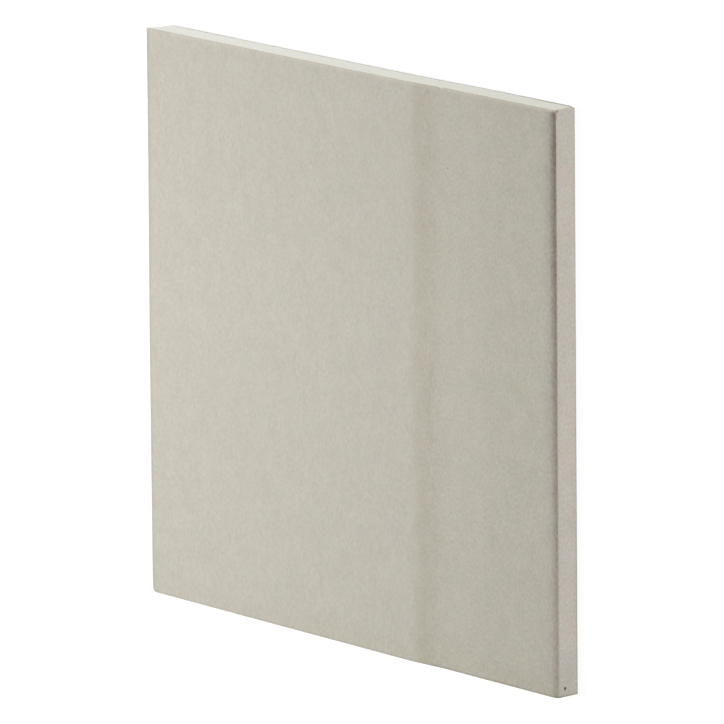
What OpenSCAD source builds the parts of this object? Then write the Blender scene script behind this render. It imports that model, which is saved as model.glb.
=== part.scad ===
// Cut piece of tapered-edge plasterboard (drywall), lying on its back with the face up.
// X runs across the board to the paper-wrapped long edge at +X, and Y runs along that edge.
// The origin is the middle of the underside.

/* [Board] */
// Width of the piece, from its cut side to the wrapped long edge
board_w = 240; // [140:5:1200]
// Length of the piece along the wrapped long edge
board_l = 220; // [60:5:3000]
// Full thickness of the board, both papers included
board_t = 12.5; // [9:0.5:18]
// Radius of the one plan corner that is worn round
worn_corner_r = 2.2; // [0.5:0.1:8]

/* [Tapered edge] */
// Width of the recessed strip of face beside the wrapped edge
taper_w = 86; // [45:1:100]
// Width of the soft step where the recess starts
shoulder_w = 24; // [8:1:32]
// How far the face drops over the soft step
shoulder_drop = 1.3; // [0.2:0.1:1.6]
// How far the face then slopes down from the step to the fold
slope_drop = 0.3; // [0:0.1:0.9]
// Width of the bend in the face paper at the fold
fold_w = 5; // [2:0.5:8]
// Height of the bend in the face paper at the fold
fold_h = 0.9; // [0.8:0.1:1.5]
// Radius of the fold where the edge turns onto the back
back_fold_r = 1.2; // [1:0.1:3.5]

/* [Paper] */
// Thickness of the face paper
face_paper_t = 0.4; // [0.2:0.05:0.6]
// Thickness of the back paper
back_paper_t = 0.35; // [0.2:0.05:0.6]
// Width of the face paper that is turned under the back paper, from the wrapped edge
flap_w = 24; // [14:1:40]
// Strip of the flap left bare between the back paper and the fold
bare_flap_w = 1.6; // [0.5:0.1:6]

/* [Hidden] */

cut_side_x = -board_w / 2;
wrapped_edge_x = board_w / 2;
flap_end_x = wrapped_edge_x - flap_w;
back_paper_end_x = wrapped_edge_x - back_fold_r - bare_flap_w;
taper_start_x = wrapped_edge_x - taper_w;
taper_run = taper_w - fold_w;
fold_x = wrapped_edge_x - fold_w;
fold_z = board_t - shoulder_drop - slope_drop - fold_h;

shoulder_steps = 12;
fold_steps = 9;
corner_steps = 8;

paper_colour = [0.78, 0.765, 0.715];
gypsum_colour = [0.885, 0.885, 0.86];
back_colour = [0.62, 0.60, 0.565];

function smooth_step(s) = s * s * (3 - 2 * s);

// Depth of the face below full thickness, u along from the start of the taper
function recess(u) =
    shoulder_drop * smooth_step(min(1, u / shoulder_w)) + slope_drop * u / taper_run;

// Line around the face, the fold, the edge and the flap, from the cut side to the flap's end.
// An inset of 0 is the outside of the face paper, and the paper's thickness is its inside.
function face_line(inset) = concat(
    [[cut_side_x, board_t - inset]],
    [for (i = [0 : shoulder_steps])
        let (u = shoulder_w * i / shoulder_steps)
        [taper_start_x + u, board_t - inset - recess(u)]],
    [for (i = [0 : fold_steps])
        let (a = 90 * i / fold_steps)
        [fold_x + (fold_w - inset) * sin(a), fold_z + (fold_h - inset) * cos(a)]],
    [for (i = [0 : fold_steps])
        let (a = 90 * i / fold_steps, r = back_fold_r - inset)
        [wrapped_edge_x - back_fold_r + r * cos(a), back_paper_t + back_fold_r - r * sin(a)]],
    [[flap_end_x, back_paper_t + inset]]
);

function reversed(points) = [for (i = [len(points) - 1 : -1 : 0]) points[i]];

// Outline of the piece from above, with its worn corner
function plan_outline() = concat(
    [for (i = [0 : corner_steps])
        let (a = 180 + 90 * i / corner_steps)
        [cut_side_x + worn_corner_r * (1 + cos(a)), -board_l / 2 + worn_corner_r * (1 + sin(a))]],
    [[wrapped_edge_x, -board_l / 2], [wrapped_edge_x, board_l / 2], [cut_side_x, board_l / 2]]
);

// A section in X and Z run along the whole length, trimmed to the plan outline
module board_length(section) {
    intersection() {
        rotate([90, 0, 0])
            linear_extrude(height = board_l, center = true)
                polygon(section);
        linear_extrude(height = board_t)
            polygon(plan_outline());
    }
}

module gypsum_core() {
    color(gypsum_colour)
        board_length(concat(
            face_line(face_paper_t),
            [[flap_end_x, back_paper_t], [cut_side_x, back_paper_t]]
        ));
}

module face_paper() {
    color(paper_colour)
        board_length(concat(face_line(0), reversed(face_line(face_paper_t))));
}

module back_paper() {
    color(back_colour)
        board_length([
            [cut_side_x, 0],
            [back_paper_end_x, 0],
            [back_paper_end_x, back_paper_t],
            [cut_side_x, back_paper_t]
        ]);
}

gypsum_core();
face_paper();
back_paper();
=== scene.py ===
import math

import bmesh
import bpy
from mathutils import Matrix, Vector


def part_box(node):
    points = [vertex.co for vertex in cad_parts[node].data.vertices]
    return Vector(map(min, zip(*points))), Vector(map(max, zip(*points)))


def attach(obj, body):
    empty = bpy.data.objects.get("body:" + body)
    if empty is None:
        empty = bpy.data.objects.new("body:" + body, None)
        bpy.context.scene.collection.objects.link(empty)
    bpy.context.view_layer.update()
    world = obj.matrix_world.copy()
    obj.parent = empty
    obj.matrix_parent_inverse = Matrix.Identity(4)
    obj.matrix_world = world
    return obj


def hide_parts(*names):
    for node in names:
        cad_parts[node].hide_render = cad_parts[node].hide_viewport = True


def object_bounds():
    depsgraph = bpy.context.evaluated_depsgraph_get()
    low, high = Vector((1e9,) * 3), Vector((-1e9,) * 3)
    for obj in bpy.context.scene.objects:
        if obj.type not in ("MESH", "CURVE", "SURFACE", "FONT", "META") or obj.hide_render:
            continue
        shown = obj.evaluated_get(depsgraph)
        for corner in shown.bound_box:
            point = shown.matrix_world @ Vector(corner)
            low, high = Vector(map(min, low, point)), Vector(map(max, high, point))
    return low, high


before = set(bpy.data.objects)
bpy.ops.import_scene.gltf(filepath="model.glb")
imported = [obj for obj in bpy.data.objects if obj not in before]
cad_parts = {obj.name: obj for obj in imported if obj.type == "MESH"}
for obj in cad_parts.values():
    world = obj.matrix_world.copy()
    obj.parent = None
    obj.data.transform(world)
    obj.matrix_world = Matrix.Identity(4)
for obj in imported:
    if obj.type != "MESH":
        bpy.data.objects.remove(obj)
cad_box = [list(corner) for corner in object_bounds()]

# ------------------------------------------------------------------ the board, in metres

MM = 0.001
LOW, HIGH = (Vector(corner) for corner in cad_box)
THICK = HIGH.z

TAPER_WIDTH = 86 * MM
SHOULDER_WIDTH = 24 * MM
FOLD_WIDTH = 5 * MM
TAPER_START = HIGH.x - TAPER_WIDTH
SHOULDER_END = TAPER_START + SHOULDER_WIDTH
FOLD_START = HIGH.x - FOLD_WIDTH
STRIP_TOP = 10 * MM
BACK_PAPER = 0.35 * MM
BACK_FOLD_RADIUS = 1.2 * MM
BACK_FOLD_TOP = BACK_PAPER + BACK_FOLD_RADIUS

TINY = 0.02 * MM
WELD = 0.001 * MM
END_WEAR = 0.25 * MM
HALF_WAY_UP = 5 * MM

# Small marks on this piece: places along X and Y, or along Y and Z on the wrapped edge
NICK_X = 55 * MM
PIT = Vector((HIGH.x, -106.7 * MM, 7 * MM))
PIT_LENGTH = 1.1 * MM
PIT_HEIGHT = 0.62 * MM
PIT_DEPTH = 0.33 * MM
CRUSHED_CORNER = Vector((LOW.x, LOW.y, THICK))
WORN_RADIUS = 2.2 * MM
BRUISED_CORNER = Vector((HIGH.x, HIGH.y, 0))

# How far the cut sides run out of square, and how far in from a side the lean starts and is full
NEAR_LEAN = 0.3 * MM
FAR_LEAN = 0.35 * MM
CUT_SIDE_LEAN = 0.58 * MM
LEAN_STARTS = 6 * MM
LEAN_FULL = 0.5 * MM

# How deep the far corner of the back is bruised, and the worn corner pressed into core and paper
BRUISE_DEPTH = 0.4 * MM
CORE_CRUSH = 0.08 * MM
PAPER_CRUSH = 0.12 * MM

# The cells that the core's cut sides are sliced into, and the cuts that divide each again
CORE_CELL = 3.6 * MM
CORE_CUTS = 6
CLOSEST_COLUMNS = 0.1 * MM

# How far the core's cut sides move in: all over, then by each kind of roughness
CORE_TRIM = 0.08 * MM
WAVE_DEPTH = 0.16 * MM
CRUMB_DEPTH = 0.2 * MM
BUBBLE_DEPTH = 0.5 * MM

# How far the papers move: in over their surface, and back from their cut ends and lap
COCKLE_DEPTH = 0.07 * MM
RIPPLE_DEPTH = 0.02 * MM
FAR_FRAY = 0.14 * MM
NEAR_FRAY = 0.04 * MM
TUFT_SHARE = 0.8
NICK_DEPTH = 0.6 * MM
LAP_WANDER = 0.35 * MM
PIT_RIM = 0.1 * MM


# ------------------------------------------------------------------ modelling

def only(piece):
    """Selects one piece alone and makes it active."""
    bpy.ops.object.select_all(action="DESELECT")
    piece.select_set(True)
    bpy.context.view_layer.objects.active = piece


def edit(piece):
    """Opens a piece for editing with nothing selected."""
    only(piece)
    bpy.ops.object.mode_set(mode="EDIT")
    bpy.ops.mesh.select_mode(type="FACE")
    bpy.ops.mesh.select_all(action="DESELECT")


def done():
    """Closes the piece that is being edited, with all of it showing."""
    bpy.ops.mesh.reveal(select=False)
    bpy.ops.object.mode_set(mode="OBJECT")


def pick(piece, wanted):
    """Selects the faces whose middle and normal are wanted."""
    mesh = bmesh.from_edit_mesh(piece.data)
    for face in mesh.faces:
        face.select_set(wanted(face.calc_center_median(), face.normal))
    bmesh.update_edit_mesh(piece.data)


def isolate(piece, wanted):
    """Hides all the faces but the wanted ones, and leaves those selected."""
    pick(piece, wanted)
    bpy.ops.mesh.hide(unselected=True)
    bpy.ops.mesh.select_all(action="SELECT")


def shape_of(node, name):
    """A new piece with the shape of a CAD node, its loose triangles merged into clean faces."""
    piece = bpy.data.objects.new(name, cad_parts[node].data.copy())
    bpy.context.scene.collection.objects.link(piece)
    piece.data.materials.clear()
    edit(piece)
    bpy.ops.mesh.customdata_custom_splitnormals_clear()
    bpy.ops.mesh.select_all(action="SELECT")
    bpy.ops.mesh.remove_doubles(threshold=WELD)
    bpy.ops.mesh.dissolve_limited(angle_limit=math.radians(0.05))
    done()
    return piece


def spaced(places, pitch, closest=TINY):
    """The places in order, less those too close together, with no gap wider than the pitch."""
    places = sorted(places)
    result = [places[0]]
    for place in places[1:]:
        start = result[-1]
        gap = place - start
        if gap < closest:
            continue
        steps = math.ceil(gap / pitch - 0.01)
        result += [start + gap * step / steps for step in range(1, steps + 1)]
    return result


def end_rows(pitch):
    """Rows along the board that crowd together towards both cut ends."""
    steps = [0, 0.35, 0.75, 1.3, 2.2, 3.6, 5.5]
    rows = [LOW.y + step * MM for step in steps] + [HIGH.y - step * MM for step in steps]
    return spaced(rows, pitch)


def slice_across(axis, places):
    """Cuts the faces that show with planes across an axis."""
    normal = Vector((axis == "X", axis == "Y", axis == "Z"))
    for place in places:
        bpy.ops.mesh.select_all(action="SELECT")
        bpy.ops.mesh.bisect(plane_co=normal * place, plane_no=normal, threshold=WELD)


def split_wide_faces():
    """Splits the faces that show and have more than four corners into triangles."""
    bpy.ops.mesh.select_all(action="DESELECT")
    bpy.ops.mesh.select_face_by_sides(number=4, type="GREATER")
    bpy.ops.mesh.quads_convert_to_tris(ngon_method="BEAUTY")


def corner_places(piece, axis):
    """Where the corners of a piece lie along an axis."""
    index = "XYZ".index(axis)
    return {round(corner.co[index], 7) for corner in piece.data.vertices}


def corners_of(piece, wanted):
    """The corners of the faces whose middle and normal are wanted."""
    return {
        corner
        for face in piece.data.polygons
        if wanted(face.center, face.normal)
        for corner in face.vertices
    }


def weigh(piece, name, share, corners=None):
    """A vertex group in which each corner's weight comes from its place."""
    group = piece.vertex_groups.new(name=name)
    for corner in piece.data.vertices:
        if corners is None or corner.index in corners:
            weight = share(corner.co)
            if weight > 0:
                group.add([corner.index], min(1.0, weight), "REPLACE")
    return group.name


def move(piece, group, direction, depth, texture=None):
    """Moves a group's corners by a depth, or by as much of it as a texture says."""
    modifier = piece.modifiers.new("move", "DISPLACE")
    if texture:
        modifier.texture = texture
        modifier.texture_coords = "LOCAL"
    modifier.direction = direction
    modifier.mid_level = 0
    modifier.strength = depth
    modifier.vertex_group = group
    only(piece)
    bpy.ops.object.modifier_apply(modifier=modifier.name)


def ease(value, low, high):
    """0 at low, 1 at high, and smooth in between."""
    share = min(1.0, max(0.0, (value - low) / (high - low)))
    return share * share * (3 - 2 * share)


def everywhere(place):
    """The same full weight at every corner."""
    return 1.0


def clouds(name, size, depth=2):
    """Soft lumps about a size across."""
    texture = bpy.data.textures.new(name, "CLOUDS")
    texture.noise_scale = size
    texture.noise_depth = depth
    texture.noise_basis = "IMPROVED_PERLIN"
    return texture


def pits(name, size, share):
    """Round pits about a size apart, each a share of that across."""
    texture = bpy.data.textures.new(name, "VORONOI")
    texture.noise_scale = size
    texture.use_color_ramp = True
    ramp = texture.color_ramp
    ramp.elements[0].position = 0
    ramp.elements[0].color = (1, 1, 1, 1)
    ramp.elements[1].position = share
    ramp.elements[1].color = (0, 0, 0, 1)
    return texture


def square_up(piece):
    """Leans the cut sides a little, because they were cut by hand, and bruises one corner."""
    def near_end(place):
        back = 1 - place.z / THICK
        along = ease(place.x, 40 * MM, 110 * MM)
        return back * along * ease(place.y, LOW.y + LEAN_STARTS, LOW.y + LEAN_FULL)

    def far_end(place):
        back = 1 - place.z / THICK
        along = ease(place.x, 80 * MM, 20 * MM)
        return back * along * ease(place.y, HIGH.y - LEAN_STARTS, HIGH.y - LEAN_FULL)

    def cut_side(place):
        along = ease(place.y, -20 * MM, 80 * MM)
        return along * ease(place.x, LOW.x + LEAN_STARTS, LOW.x + LEAN_FULL)

    def bruised_corner(place):
        out = (place - BRUISED_CORNER).xz.length
        return ease(out, 4.2 * MM, 0.8 * MM) * ease(place.y, HIGH.y - 5 * MM, HIGH.y - 0.3 * MM)

    move(piece, weigh(piece, "near_end_lean", near_end), "Y", NEAR_LEAN)
    move(piece, weigh(piece, "far_end_lean", far_end), "Y", -FAR_LEAN)
    move(piece, weigh(piece, "cut_side_lean", cut_side), "X", CUT_SIDE_LEAN)
    move(piece, weigh(piece, "bruised_corner", bruised_corner), "Y", -BRUISE_DEPTH)


def crush_corner(piece, depth):
    """Presses down the worn corner of the face, where the board has been stood on."""
    def near_corner(place):
        out = (place - CRUSHED_CORNER).xy.length
        return ease(out, 5.5 * MM, WORN_RADIUS) * ease(place.z, 10 * MM, 12 * MM)

    move(piece, weigh(piece, "crushed_corner", near_corner), "Z", -depth)


# ------------------------------------------------------------------ gypsum core

def on_far_end(place, normal):
    """True for the core's faces at the far end."""
    return normal.y > 0.5


def on_near_end(place, normal):
    """True for the core's faces at the near end, with most of the worn corner's."""
    return normal.y < -0.5


def on_cut_side(place, normal):
    """True for the core's faces on the cut side, with most of the worn corner's."""
    return normal.x < -0.5 and place.x < LOW.x + 3 * MM


def on_any_cut(place, normal):
    """True for every face of the core that shows."""
    return on_far_end(place, normal) or on_near_end(place, normal) or on_cut_side(place, normal)


def make_gypsum_core():
    """The core, with the crumbly and pitted surface of its cut sides in the mesh."""
    piece = shape_of("gypsum_core", "gypsum_core_cut")
    low, high = (Vector(corner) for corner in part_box("gypsum_core"))
    columns = spaced(corner_places(piece, "X"), CORE_CELL, CLOSEST_COLUMNS)
    layers = spaced([low.z, high.z], CORE_CELL)
    rows = spaced([low.y + WORN_RADIUS, high.y], CORE_CELL)
    for side, axis, places in (
        (on_far_end, "X", columns),
        (on_near_end, "X", columns),
        (on_cut_side, "Y", rows),
    ):
        edit(piece)
        isolate(piece, side)
        slice_across(axis, places[1:-1])
        slice_across("Z", layers[1:-1])
        done()

    edit(piece)
    isolate(piece, on_any_cut)
    split_wide_faces()
    bpy.ops.mesh.select_all(action="SELECT")
    bpy.ops.mesh.subdivide(number_cuts=CORE_CUTS)
    done()

    waves = clouds("core_waves", 11 * MM)
    crumbs = clouds("core_crumbs", 1.5 * MM, 3)
    bubbles = pits("core_bubbles", 3.4 * MM, 0.2)
    for side, axis, inwards in (
        (on_far_end, "Y", -1),
        (on_near_end, "Y", 1),
        (on_cut_side, "X", 1),
    ):
        corners = corners_of(piece, side)
        group = weigh(piece, side.__name__, everywhere, corners)
        move(piece, group, axis, inwards * CORE_TRIM)
        move(piece, group, axis, inwards * WAVE_DEPTH, waves)
        move(piece, group, axis, inwards * CRUMB_DEPTH, crumbs)
        move(piece, group, axis, inwards * BUBBLE_DEPTH, bubbles)
    square_up(piece)
    crush_corner(piece, CORE_CRUSH)

    edit(piece)
    split_wide_faces()
    done()
    return piece


# ------------------------------------------------------------------ papers

def on_outside(place, normal):
    """True for the faces of the face paper that show on the face, the fold and the edge."""
    return (normal.z > 0.3 and place.z > HALF_WAY_UP) or normal.x > 0.3


def around_pit(place, normal):
    """True for the faces of the wrapped edge that the pit is cut from."""
    return normal.x > 0.9 and place.y < PIT.y + 5 * MM


def in_pit(place, normal):
    """True for the one face of the wrapped edge that is pushed in as the pit."""
    across, up = abs(place.y - PIT.y), abs(place.z - PIT.z)
    return normal.x > 0.7 and across < PIT_LENGTH / 2 and up < PIT_HEIGHT / 2


def fray(piece, far, near):
    """Wears the cut ends of a paper back unevenly."""
    wander = clouds(piece.name + "_wander", 16 * MM)
    tufts = clouds(piece.name + "_tufts", 1.5 * MM, 3)
    for name, depth, here in (
        ("far_fray", -far, lambda p: ease(p.y, HIGH.y - END_WEAR, HIGH.y - TINY)),
        ("near_fray", near, lambda p: ease(p.y, LOW.y + END_WEAR, LOW.y + TINY)),
    ):
        group = weigh(piece, name, here)
        move(piece, group, "Y", depth, wander)
        move(piece, group, "Y", depth * TUFT_SHARE, tufts)


def make_face_paper():
    """The face paper: flat, down the taper, round the fold and the edge, and under the back."""
    piece = shape_of("face_paper", "face_paper_sheet")
    columns = spaced(corner_places(piece, "X"), 1.1 * MM)
    edit(piece)
    slice_across("X", columns[1:-1])
    isolate(piece, lambda place, normal: place.x > HIGH.x - 0.5 * MM)
    slice_across("Z", spaced([BACK_FOLD_TOP, STRIP_TOP], 0.8 * MM)[1:-1])
    bpy.ops.mesh.reveal(select=False)
    slice_across("Y", end_rows(3.2 * MM)[1:-1])
    isolate(piece, around_pit)
    slice_across("Y", [PIT.y - PIT_LENGTH / 2, PIT.y + PIT_LENGTH / 2])
    slice_across("Z", [PIT.z - PIT_HEIGHT / 2, PIT.z + PIT_HEIGHT / 2])
    done()

    outside = corners_of(piece, on_outside)
    skin = weigh(piece, "skin", everywhere, outside)
    move(piece, skin, "NORMAL", -COCKLE_DEPTH, clouds("paper_cockle", 26 * MM, 1))
    move(piece, skin, "NORMAL", -RIPPLE_DEPTH, clouds("paper_ripple", 7 * MM))
    fray(piece, FAR_FRAY, NEAR_FRAY)

    nick = weigh(
        piece,
        "nick",
        lambda p: ease(abs(p.x - NICK_X), 1.7 * MM, 0.3 * MM)
        * ease(p.y, HIGH.y - 1.2 * MM, HIGH.y - 0.3 * MM)
        * (p.z > HALF_WAY_UP),
    )
    move(piece, nick, "Y", -NICK_DEPTH)
    square_up(piece)
    crush_corner(piece, PAPER_CRUSH)

    edit(piece)
    pick(piece, in_pit)
    bpy.ops.mesh.inset(thickness=PIT_RIM, depth=-PIT_DEPTH)
    done()
    return piece


def make_back_paper():
    """The back paper, which laps over the folded flap of the face paper."""
    piece = shape_of("back_paper", "back_paper_sheet")
    low, high = (Vector(corner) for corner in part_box("back_paper"))
    columns = spaced([low.x, high.x - 0.6 * MM, high.x], 2 * MM)
    edit(piece)
    slice_across("X", columns[1:-1])
    slice_across("Y", end_rows(2.4 * MM)[1:-1])
    done()
    fray(piece, FAR_FRAY, NEAR_FRAY)
    lap = weigh(piece, "lap_edge", lambda p: float(p.x > high.x - TINY))
    move(piece, lap, "X", -LAP_WANDER, clouds("lap_wander", 9 * MM, 3))
    square_up(piece)
    return piece


# ------------------------------------------------------------------ shader maths

# The sockets of a Mix node that hold its two colours, and the output that holds the result
FIRST_COLOUR, SECOND_COLOUR, MIXED_COLOUR = 6, 7, 2


class Value:
    """A shader socket that Python's operators work on."""

    def __init__(self, shader, socket):
        self.shader = shader
        self.socket = socket

    def maths(self, operation, *values):
        return self.shader.node("Math", {"operation": operation}, values)

    def __add__(self, other):
        return self.maths("ADD", self, other)

    def __sub__(self, other):
        return self.maths("SUBTRACT", self, other)

    def __rsub__(self, other):
        return self.maths("SUBTRACT", other, self)

    def __mul__(self, other):
        return self.maths("MULTIPLY", self, other)

    def __pow__(self, other):
        return self.maths("POWER", self, other)

    def maximum(self, other):
        return self.maths("MAXIMUM", self, other)

    __radd__ = __add__
    __rmul__ = __mul__

    def between(self, low, high):
        """0 at low, 1 at high, and smooth in between. High may be the smaller one."""
        inputs = {"Value": self, "From Min": low, "From Max": high}
        return self.shader.node("MapRange", {"interpolation_type": "SMOOTHSTEP"}, inputs)


class Shader:
    """A material, the place on the board in mm, and the ways to add nodes."""

    def __init__(self, name, colour, gloss):
        self.material = bpy.data.materials.new(name)
        self.material.use_nodes = True
        self.material.diffuse_color = (*colour, 1)
        self.tree = self.material.node_tree
        self.surface = self.tree.nodes["Principled BSDF"]
        self.surface.inputs["Specular IOR Level"].default_value = gloss
        metres = self.node("TexCoord", output="Object")
        self.place = self.node("VectorMath", {"operation": "SCALE"}, {0: metres, "Scale": 1 / MM})
        self.x, self.y, self.z = (
            self.node("SeparateXYZ", inputs=(self.place,), output=axis) for axis in "XYZ"
        )

    def node(self, kind, settings=None, inputs=(), output=0):
        """Adds a node, sets it up, fills its sockets and gives one of its outputs."""
        made = self.tree.nodes.new("ShaderNode" + kind)
        for name, value in (settings or {}).items():
            setattr(made, name, value)
        pairs = inputs.items() if isinstance(inputs, dict) else enumerate(inputs)
        for key, value in pairs:
            if isinstance(value, Value):
                self.tree.links.new(value.socket, made.inputs[key])
            else:
                made.inputs[key].default_value = value
        return Value(self, made.outputs[output])

    def noise(self, size, stretch=(1, 1, 1), octaves=2.0, roughness=0.5, shift=0.0):
        """Noise about 0. Its largest features are a size in mm, times a stretch on each axis."""
        spot = self.node(
            "Mapping",
            {"vector_type": "TEXTURE"},
            {
                "Vector": self.place,
                "Location": (shift, shift, shift),
                "Scale": [size * part for part in stretch],
            },
        )
        inputs = {"Vector": spot, "Scale": 1.0, "Detail": octaves, "Roughness": roughness}
        return self.node("TexNoise", inputs=inputs) - 0.5

    def mottle(self, strengths, shift):
        """Several sizes of noise added up, each with its own strength."""
        total = 0.0
        for step, (size, strength) in enumerate(zip(MOTTLE_SIZES, strengths)):
            layer = self.noise(size, (1, 1.35, 1), 0.0, shift=shift + 17 * step)
            total = layer * strength + total
        return total

    def mix(self, first, second, share):
        """A colour between two colours."""
        inputs = {"Factor": share, FIRST_COLOUR: first, SECOND_COLOUR: second}
        return self.node("Mix", {"data_type": "RGBA"}, inputs, MIXED_COLOUR)

    def scaled(self, colour, red, green, blue):
        """A colour with each part multiplied by a value."""
        shares = self.node("CombineXYZ", inputs=(red, green, blue))
        return self.node("VectorMath", {"operation": "MULTIPLY"}, (colour, shares))

    def spot(self, x, y, across, along=None, turn=0):
        """1 inside a small mark at a place on the face, in mm, and 0 away from it."""
        along = along or across
        east, north = self.x - x, self.y - y
        if turn:
            part, rest = math.cos(math.radians(turn)), math.sin(math.radians(turn))
            east, north = east * part + north * rest, north * part - east * rest
        return self.oval(east, north, across, along)

    def edge_spot(self, y, z, along, high):
        """1 inside a small mark at a place on the wrapped edge, in mm, and 0 away from it."""
        return self.oval(self.y - y, self.z - z, along, high)

    def oval(self, first, second, first_size, second_size):
        """1 where two distances lie inside an oval of two sizes, fading to 0 outside it."""
        out = (first * (2 / first_size)) ** 2 + (second * (2 / second_size)) ** 2
        return out.between(1.6, 0.3)

    def finish(self, colour, roughness, height, relief):
        """Joins the colour, the roughness and a relief, in mm, to the surface."""
        inputs = {"Strength": 1.0, "Distance": relief * MM, "Height": height}
        bump = self.node("Bump", inputs=inputs, output="Normal")
        self.tree.links.new(colour.socket, self.surface.inputs["Base Color"])
        self.tree.links.new(roughness.socket, self.surface.inputs["Roughness"])
        self.tree.links.new(bump.socket, self.surface.inputs["Normal"])
        return self.material


# ------------------------------------------------------------------ finishes

MOTTLE_SIZES = (0.9, 2.0, 4.5, 10.0)
TONE = (0.2, 0.015, 0.065, 0.02)
WARMTH = (0.01, 0.015, 0.02, 0.005)
GOLD = (0.02, 0.02, 0.025, 0.005)

IVORY = (0.490, 0.465, 0.404, 1)
IVORY_TAPER = (0.479, 0.453, 0.388, 1)
SHOULDER_BROWN_AND_SHADE = (0.440, 0.408, 0.338, 1)
STRIP_PINK = (0.497, 0.459, 0.409, 1)
RUBBED_BROWN = (0.50, 0.42, 0.33, 1)
PASTE_TAN = (0.66, 0.605, 0.50, 1)
PLY_BROWN = (0.56, 0.49, 0.39, 1)
GYPSUM = (0.875, 0.872, 0.805, 1)
GYPSUM_SHADE = (0.765, 0.758, 0.668, 1)
BACK_EDGE_GREY = (0.60, 0.60, 0.53, 1)
BACK_EDGE_BROWN = (0.42, 0.39, 0.33, 1)
BACK_GREY = (0.40, 0.365, 0.315, 1)
BACK_BROWN = (0.33, 0.29, 0.235, 1)
# Painted light: the pale colours of the back paper's cut edge along the far end.
PALE_PAINTED_LIGHT = (0.86, 0.85, 0.79, 1)
GREY_PAINTED_LIGHT = (0.74, 0.72, 0.65, 1)

# The core's cut side is a darker copy of the same gypsum: painted shade.
END_BRIGHTNESS = 1.0
SHADED_SIDE_BRIGHTNESS = 0.76
CORE_SMOOTHING = 60
PAPER_SMOOTHING = 30

# The board in mm, for the finishes. What they add or take away is a share of the brightness.
LEFT, EDGE, NEAR, FAR = (place / MM for place in (LOW.x, HIGH.x, LOW.y, HIGH.y))
START, SHOULDER, FOLD = (place / MM for place in (TAPER_START, SHOULDER_END, FOLD_START))
WORN = WORN_RADIUS / MM
EDGE_TOP = STRIP_TOP / MM
TURN_TOP = BACK_FOLD_TOP / MM

# Small dark marks on the face: X, Y, size and strength
DARK_MARKS = (
    (59, 80, 1.0, 0.22),
    (88.5, 86, 1.1, 0.10),
    (115, 56, 1.1, 0.16),
    (78, -105, 0.9, 0.14),
    (46, 16, 0.9, 0.14),
    (12, 44, 0.8, 0.06),
    (-71, -64, 0.9, 0.06),
    (-89.5, 102.4, 3.2, 0.035),
)

# Brown scuffs on the face: X, Y, width, length, turn in degrees and strength
BROWN_SCUFFS = (
    (95, 9, 1.1, 1.1, 0, 0.45),
    (-107.5, -100.5, 4.8, 1.3, -16, 0.5),
    (-103, -108, 5.4, 1.2, 15, 0.4),
    (-69.2, -96.4, 1.3, 3.0, 0, 0.3),
    (-116.5, 109.1, 3.4, 1.5, 0, 0.25),
)


def ground_colour(s, on_taper, on_strip):
    """Ivory, cooler on the taper, pinker on the wrapped edge, and brown along the shoulder:
    partly tint, partly painted shade.
    """
    x = s.x
    colour = s.mix(IVORY, IVORY_TAPER, on_taper)
    wander = s.noise(10, (1, 1.8, 1), 3, 0.7, shift=11) * 5
    band = (x + wander).between(36.5, 44) * (x + wander).between(57, 46.5)
    blotches = s.noise(6, (0.8, 1.5, 1), 3, 0.8, shift=19).between(-0.2, 0.12)
    # The band along the shoulder is partly the paper's brown tint and partly painted shade of the
    # taper's step.
    colour = s.mix(colour, SHOULDER_BROWN_AND_SHADE, band * (0.5 + 0.4 * blotches))
    return s.mix(colour, STRIP_PINK, on_strip)


def fold_shade(s, off_strip):
    """Painted shade along the fold of the face, lighter just past it, and the brown crease inside
    it, which is partly painted shade.
    """
    x, y = s.x, s.y
    strength = (0.93 + y * 0.0035) * y.between(FAR - 0.25, FAR - 1.5)
    shade = 0.09 * x.between(FOLD - 3, FOLD + 2) + 0.25 * x.between(FOLD + 1.2, FOLD + 4.1)
    # A painted lighter rim on the outer edge of the fold, taken off the painted shade.
    rim = 0.07 * x.between(FOLD + 4.4, FOLD + 4.9)
    crease_and_shade = x.between(FOLD + 3.5, FOLD + 4.4)
    return (shade - rim) * strength * off_strip, crease_and_shade * strength * off_strip


def back_fold_shade(s):
    """Painted shade along the line where the wrapped edge turns under, stronger towards the near
    end.
    """
    x, y = s.x, s.y
    turn = s.z.between(TURN_TOP + 0.35, 0.65) * x.between(EDGE - 5, EDGE - 3)
    return turn * (0.17 + 0.13 * y.between(80, 0) + 0.13 * y.between(20, -70))


def edge_darkening(s):
    """How much the wrapped edge is darkened, most of it towards the near end."""
    y, z = s.y, s.z
    # A darkening by place alone: more towards the near end, near the top, and at the far corner.
    wear = 0.04 + 0.012 * y.between(75, 10) + 0.01 * z.between(3, 9)
    wear = wear + 0.04 * y.between(0, -80) + 0.05 * y.between(-85, -103)
    wear = wear + 0.05 * y.between(NEAR + 5, NEAR + 1)
    return wear + 0.13 * z.between(8.8, 9.6) * y.between(FAR - 6, FAR - 2)


def torn_end(s, off_strip):
    """The pale torn rim of the paper along the far end."""
    x, y = s.x, s.y
    rim = 0.05 + 0.045 * x.between(-60, 60) + 0.06 * x.between(85, 108)
    rim = rim * y.between(FAR - 1.7, FAR - 0.5) * off_strip
    return rim * (1 - 0.6 * x.between(FOLD + 2.5, FOLD + 4.3))


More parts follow.
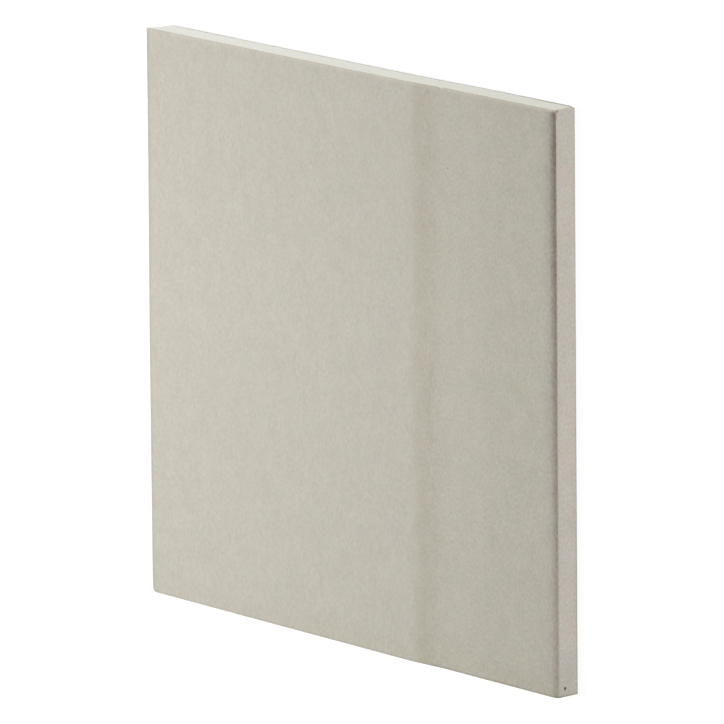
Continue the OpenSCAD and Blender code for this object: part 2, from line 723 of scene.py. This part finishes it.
def edge_shade_lines(s, on_strip):
    """Thin dark lines along the near edge, the cut side and the worn corner: painted shade where
    the paper's edge rounds away, with a little soiling.
    """
    x, y = s.x, s.y
    near_line = 0.1 + 0.1 * x.between(35, 60) + 0.06 * on_strip
    near_line = near_line * y.between(NEAR + 1.1, NEAR + 0.4)
    side = x - CUT_SIDE_LEAN / MM * y.between(-20, 80)
    side_line = side.between(LEFT + 1.7, LEFT + 0.9)
    west, south = (LEFT + WORN - x).maximum(0), (NEAR + WORN - y).maximum(0)
    out = (west * west + south * south) ** 0.5
    corner_line = out.between(WORN - 1, WORN - 0.3) * (west * south).between(0, 0.3)
    return near_line + 0.08 * side_line + 0.1 * corner_line


def small_marks(s):
    """The small dark marks of the face, a broad faint one on the taper, and the nick."""
    marks = 0.02 * s.spot(96, -27, 9, 24) + 0.22 * s.spot(NICK_X / MM, FAR - 0.3, 2.6, 1.2)
    for mark_x, mark_y, size, strength in DARK_MARKS:
        marks = marks + strength * s.spot(mark_x, mark_y, size)
    return marks


def face_paper_finish():
    """Ivory face paper: fine fibre mottling, a brown shoulder that is partly painted shade, and
    painted shade along the fold.
    """
    s = Shader("ivory_face_paper", IVORY[:3], 0.22)
    x, y, z = s.x, s.y, s.z
    on_taper = x.between(START, SHOULDER)
    on_strip = x.between(EDGE - 2, EDGE - 1) * z.between(EDGE_TOP + 0.02, EDGE_TOP - 0.2)
    off_strip = 1 - on_strip
    colour = ground_colour(s, on_taper, on_strip)

    fibres = s.noise(0.85, (1, 1.7, 1), 2, 0.7, shift=7)
    patches = s.noise(10, (1, 1.35, 1), 0.0, shift=61)
    tone = s.mottle(TONE, 3) * (1 + 0.3 * on_taper) + 0.05 * patches * on_taper
    warmth = s.mottle(WARMTH, 101) * (1 + 0.85 * on_taper + 1.6 * on_strip)
    gold = s.mottle(GOLD, 211) * (1 + 1.6 * on_taper + 0.6 * on_strip)

    # Painted shade along the fold, and the brown crease, partly painted shade.
    shade, crease_and_shade = fold_shade(s, off_strip)
    back_fold = back_fold_shade(s)
    # An olive tint that follows the painted shade of the back fold.
    olive = 0.15 * back_fold * y.between(70, 0)
    # Darker towards the far end, and over the outer part of the taper as painted shade of its
    # slope.
    far_and_taper_darkening = 0.018 * y.between(10, 80) + 0.022 * x.between(70, 84) * off_strip
    soiled = y.between(NEAR + 14, NEAR + 1.5) * (0.4 + 0.6 * x.between(-60, 0)) * off_strip
    torn_rim = torn_end(s, off_strip)
    # Painted shade inside the pit on the wrapped edge.
    pit_shade = on_strip * s.edge_spot(PIT.y / MM, PIT.z / MM, 1.3, 0.8)
    speck = on_strip * s.edge_spot(FAR - 0.6, 9.4, 1.2, 0.8)

    dark = shade + back_fold + edge_shade_lines(s, on_strip) + on_strip * edge_darkening(s)
    dark = dark + far_and_taper_darkening + 0.02 * soiled - torn_rim
    dark = dark + small_marks(s) + 0.93 * pit_shade + 0.35 * speck

    brown = 0.5 * speck
    for mark_x, mark_y, across, along, turn, strength in BROWN_SCUFFS:
        brown = strength * s.spot(mark_x, mark_y, across, along, turn) + brown
    colour = s.mix(colour, RUBBED_BROWN, brown)

    light = 1 + tone - dark
    colour = s.scaled(
        colour,
        light + warmth - 0.05 * crease_and_shade,
        light - warmth * 0.6 - 0.11 * crease_and_shade - 0.12 * torn_rim,
        light - warmth * 0.2 - gold - 0.12 * crease_and_shade - 0.03 * soiled - 0.4 * torn_rim - olive,
    )
    roughness = 0.84 + fibres * 0.1 + tone * 0.6
    height = fibres * 0.7 + tone * 3
    return s.finish(colour, roughness, height, 0.02)


def cut_paper_finish():
    """The cut edge of the papers: tan plies with paste and fibres in them."""
    s = Shader("cut_paper_edge", PASTE_TAN[:3], 0.15)
    plies = s.noise(0.5, (4, 4, 0.5), 3, 0.6)
    tufts = s.noise(2.2, (1, 1, 1), 3, 0.7, shift=5)
    corner = s.x.between(LEFT + 16, LEFT + 3)
    colour = s.mix(PASTE_TAN, PLY_BROWN, tufts.between(-0.05, 0.25) + 0.4 * corner)
    light = 1 + plies * 0.25
    colour = s.scaled(colour, light, light, light)
    return s.finish(colour, 0.9 + tufts * 0.1, plies, 0.06)


def gypsum_finish(name, brightness):
    """Aerated gypsum where it was cut: white, with a fine grain, clumps and dark pores."""
    s = Shader(name, [part * brightness for part in GYPSUM[:3]], 0.15)
    x, z = s.x, s.z
    grain = s.noise(0.8, (1, 1, 1), 4, 0.75)
    clumps = s.noise(6, (1, 1, 1), 4, 0.8, shift=3)
    streaks = s.noise(3, (1, 1, 0.25), 2, 0.6, shift=23)
    pores = grain.between(-0.16, -0.24)

    # Greyer towards the wrapped edge as painted shade; the clumps take the same grey as the
    # gypsum's own tone.
    shade_towards_edge = x.between(-EDGE, EDGE)
    colour = s.mix(GYPSUM, GYPSUM_SHADE, 0.55 * shade_towards_edge + 0.5 * clumps.between(0, 0.3))
    under_paper = (z + x.between(START, SHOULDER) * 1.4).between(10.6, 12.2)
    colour = s.mix(colour, PASTE_TAN, 0.5 * under_paper)
    corner = (x + (10 - z) * 0.33).between(EDGE - 0.6, EDGE)
    colour = s.mix(colour, PASTE_TAN, 0.75 * corner)

    light = 1 + grain * 0.16 + clumps * 0.12 + streaks * 0.1 - 0.12 * pores
    # The brightness darkens a whole copy of the gypsum, as painted shade on the cut side.
    light = light * brightness
    colour = s.scaled(colour, light, light, light - clumps * 0.02)
    height = grain - pores * 0.4
    return s.finish(colour, 0.93 + grain * 0.08, height, 0.1)


def back_paper_finish():
    """Grey-brown recycled back paper with coarse fibres and darker flecks."""
    s = Shader("grey_back_paper", BACK_GREY[:3], 0.2)
    fibres = s.noise(1.0, (1, 2.2, 1), 3, 0.75)
    formation = s.noise(12, (1, 1.3, 1), 5, 0.9, shift=13)
    flecks = s.noise(0.7, (1, 2.5, 1), 1, 0.5, shift=41).between(0.2, 0.3)
    colour = s.mix(BACK_GREY, BACK_BROWN, formation.between(-0.1, 0.3) * 0.7 + flecks * 0.5)
    light = 1 + fibres * 0.12 + formation * 0.12
    colour = s.scaled(colour, light, light, light)
    return s.finish(colour, 0.88 + fibres * 0.1, fibres, 0.05)


def back_edge_finish():
    """The cut edge of the back paper, painted pale along the far end as painted light against the
    shade at the floor.
    """
    s = Shader("pale_lit_back_edge", (0.7, 0.68, 0.62), 0.15)
    tufts = s.noise(1.8, (1, 1, 1), 3, 0.7, shift=9)
    pale = s.mix(PALE_PAINTED_LIGHT, GREY_PAINTED_LIGHT, tufts.between(-0.15, 0.25))
    colour = s.mix(pale, BACK_EDGE_GREY, s.x.between(45, 105))
    colour = s.mix(colour, BACK_EDGE_BROWN, s.y.between(FAR - 2, FAR - 8))
    light = 1 + tufts * 0.1
    colour = s.scaled(colour, light, light, light)
    return s.finish(colour, 0.92 + tufts * 0.1, tufts, 0.06)


def is_cut(place, normal):
    """True on a face of a paper that a saw or knife has made."""
    return abs(normal.y) > 0.7 or (normal.x < -0.6 and place.x < LOW.x + 3 * MM)


def is_cut_side(place, normal):
    """True on the core's cut side, pits and crumbs included."""
    return normal.x < -0.2 and place.x < LOW.x + 2 * MM


def is_back_edge_or_core_side(place, normal):
    """True on the back paper's cut edges and on the side of it that was stuck to the core."""
    return is_cut(place, normal) or normal.z > 0.5


def coat(piece, materials, choose, angle):
    """Gives each face of a piece its material and smooths the piece up to an angle."""
    for material in materials:
        piece.data.materials.append(material)
    for face in piece.data.polygons:
        face.material_index = int(choose(face.center, face.normal))
    only(piece)
    bpy.ops.object.shade_smooth_by_angle(angle=math.radians(angle))


# ------------------------------------------------------------------ studio

# The camera: where it stands, its tilt, what it looks at and its lens
CAMERA_AZIMUTH = 14.66
CAMERA_ELEVATION = 37.94
CAMERA_ROLL = -0.514
CAMERA_DISTANCE = 4.1345
CAMERA_AIM = Vector((9.35 * MM, -0.2 * MM, THICK))
CAMERA_LENS = 550.6
CAMERA_SENSOR = 36
CAMERA_REACH = 50

# The floor glows a little, so that it shows as plain white
FLOOR_SIZE = 16
FLOOR_GREY = 0.15
FLOOR_GLOW = 0.92
ROOM_GLOW = 0.2


def towards(azimuth, elevation):
    """A unit vector at an azimuth from +X towards +Y and an elevation, in degrees."""
    a, e = math.radians(azimuth), math.radians(elevation)
    return Vector((math.cos(e) * math.cos(a), math.cos(e) * math.sin(a), math.sin(e)))


def make_camera():
    """A far-off camera with a long lens, turned so that the board's Y runs up its view."""
    camera = bpy.data.cameras.new("camera")
    camera.lens = CAMERA_LENS
    camera.sensor_width = CAMERA_SENSOR
    camera.clip_end = CAMERA_REACH
    holder = bpy.data.objects.new("camera", camera)
    bpy.context.scene.collection.objects.link(holder)
    back = towards(CAMERA_AZIMUTH, CAMERA_ELEVATION)
    level_right = Vector((0, 1, 0)).cross(back).normalized()
    level_up = back.cross(level_right)
    turn = math.radians(CAMERA_ROLL)
    up = level_up * math.cos(turn) - level_right * math.sin(turn)
    right = up.cross(back)
    frame_turn = Matrix((right, up, back)).transposed().to_4x4()
    holder.matrix_world = Matrix.Translation(CAMERA_AIM + back * CAMERA_DISTANCE) @ frame_turn
    bpy.context.scene.camera = holder


def make_floor():
    """A plain pale floor just under the board."""
    bpy.ops.mesh.primitive_plane_add(size=FLOOR_SIZE, location=(0, 0, -TINY))
    floor = bpy.context.active_object
    floor.name = "pale_floor"
    material = bpy.data.materials.new("pale_floor_paint")
    material.use_nodes = True
    surface = material.node_tree.nodes["Principled BSDF"]
    surface.inputs["Base Color"].default_value = (FLOOR_GREY, FLOOR_GREY, FLOOR_GREY, 1)
    surface.inputs["Roughness"].default_value = 0.9
    surface.inputs["Specular IOR Level"].default_value = 0.0
    surface.inputs["Emission Color"].default_value = (1, 1, 1, 1)
    surface.inputs["Emission Strength"].default_value = FLOOR_GLOW
    floor.data.materials.append(material)


def make_room(strength):
    """Even white light from all round."""
    world = bpy.data.worlds.new("soft_room")
    bpy.context.scene.world = world
    world.use_nodes = True
    background = world.node_tree.nodes["Background"]
    background.inputs["Color"].default_value = (1, 1, 1, 1)
    background.inputs["Strength"].default_value = strength


def soft_light(name, azimuth, elevation, distance, size, watts):
    """A soft box that faces the board from an angle."""
    light = bpy.data.lights.new(name, "AREA")
    light.shape = "RECTANGLE"
    light.size, light.size_y = size
    light.energy = watts
    holder = bpy.data.objects.new(name, light)
    bpy.context.scene.collection.objects.link(holder)
    holder.location = towards(azimuth, elevation) * distance
    holder.rotation_euler = holder.location.to_track_quat("Z", "Y").to_euler()
    holder.visible_camera = False


# ------------------------------------------------------------------ putting it together

make_camera()
make_floor()
make_room(ROOM_GLOW)
soft_light("key_window", 178, 62, 0.7, (0.23, 0.78), 4.9)
soft_light("side_fill", 4, 9, 2.0, (0.8, 0.5), 17.2)
soft_light("far_fill", 118, 22, 1.6, (0.8, 0.8), 6.4)
bpy.context.scene.view_settings.view_transform = "Standard"

core = make_gypsum_core()
# The cut side takes the darker copy of the gypsum: painted shade.
ends = gypsum_finish("aerated_gypsum", END_BRIGHTNESS)
side = gypsum_finish("gypsum_painted_shade", SHADED_SIDE_BRIGHTNESS)
coat(core, [ends, side], is_cut_side, CORE_SMOOTHING)
face = make_face_paper()
coat(face, [face_paper_finish(), cut_paper_finish()], is_cut, PAPER_SMOOTHING)
back = make_back_paper()
coat(back, [back_paper_finish(), back_edge_finish()], is_back_edge_or_core_side, PAPER_SMOOTHING)

for piece, node, slot in (
    (core, "gypsum_core", "gypsum"),
    (face, "face_paper", "face_paper"),
    (back, "back_paper", "back_paper"),
):
    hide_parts(node)
    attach(piece, "root")
